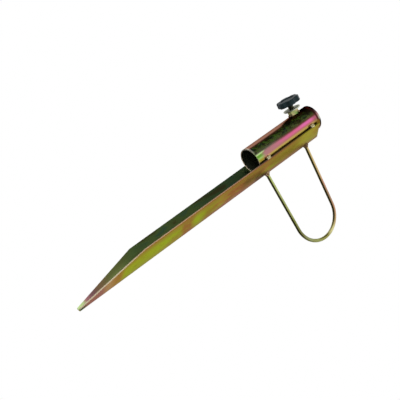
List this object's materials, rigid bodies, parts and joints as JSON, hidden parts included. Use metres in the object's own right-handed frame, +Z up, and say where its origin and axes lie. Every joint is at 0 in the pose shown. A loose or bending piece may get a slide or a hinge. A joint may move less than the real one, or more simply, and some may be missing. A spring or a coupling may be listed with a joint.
{
  "type": "rod holder",
  "caption": "Ground-spike rod holder: folded steel angle spike, welded holder tube with a lobed clamp screw, and a bent wire step loop.",
  "frame": {"origin": "on the axis of the holder tube's bore, at the tube's lower end", "axes": "+Z up along the bore, away from the spike's point; +X towards the wire loop; the clamp screw is on the -X side"},
  "size_m": [0.192, 0.0426, 0.42],
  "materials": {
    "yellow_zinc_sheet": "yellow chromate over zinc, glossy, iridescent",
    "yellow_zinc_tube": "yellow chromate over zinc, glossy, iridescent",
    "yellow_zinc_bar": "yellow chromate over zinc, glossy",
    "yellow_zinc_nut": "yellow chromate over zinc, glossy",
    "bright_zinc": "bright zinc, satin",
    "black_oxide_screw": "black oxide steel, satin",
    "weld_metal": "plated weld bead, rough",
    "black_plastic": "satin black moulding"
  },
  "bodies": {
    "holder": {"angle_spike": "yellow_zinc_sheet", "holder_tube": "yellow_zinc_tube", "step_loop": "yellow_zinc_bar", "weld_nut": "yellow_zinc_nut", "loop_weld_lower": "weld_metal", "loop_weld_upper": "weld_metal", "nut_weld_lower": "weld_metal", "nut_weld_upper": "weld_metal", "tube_weld_right_lower": "weld_metal", "tube_weld_right_upper": "weld_metal", "tube_weld_left_lower": "weld_metal", "tube_weld_left_upper": "weld_metal"},
    "clamp_washer": {"washer": "bright_zinc"},
    "clamp_screw": {"clamp_bolt": "black_oxide_screw", "clamp_knob": "black_plastic"}
  },
  "joints": [
    {"name": "knob_turn", "type": "hinge", "parent": "holder", "child": "clamp_washer", "pos_m": [-0.018, 0, 0.097], "axis": [1, 0, 0], "range_deg": [-1410, 1770]},
    {"name": "screw_travel", "type": "slide", "parent": "clamp_washer", "child": "clamp_screw", "axis": [1, 0, 0], "range_m": [-0.0049, 0.00615]}
  ],
  "couplings": [
    {"joint": "screw_travel", "follows": "knob_turn", "m_per_rad": 0.00019894}
  ]
}
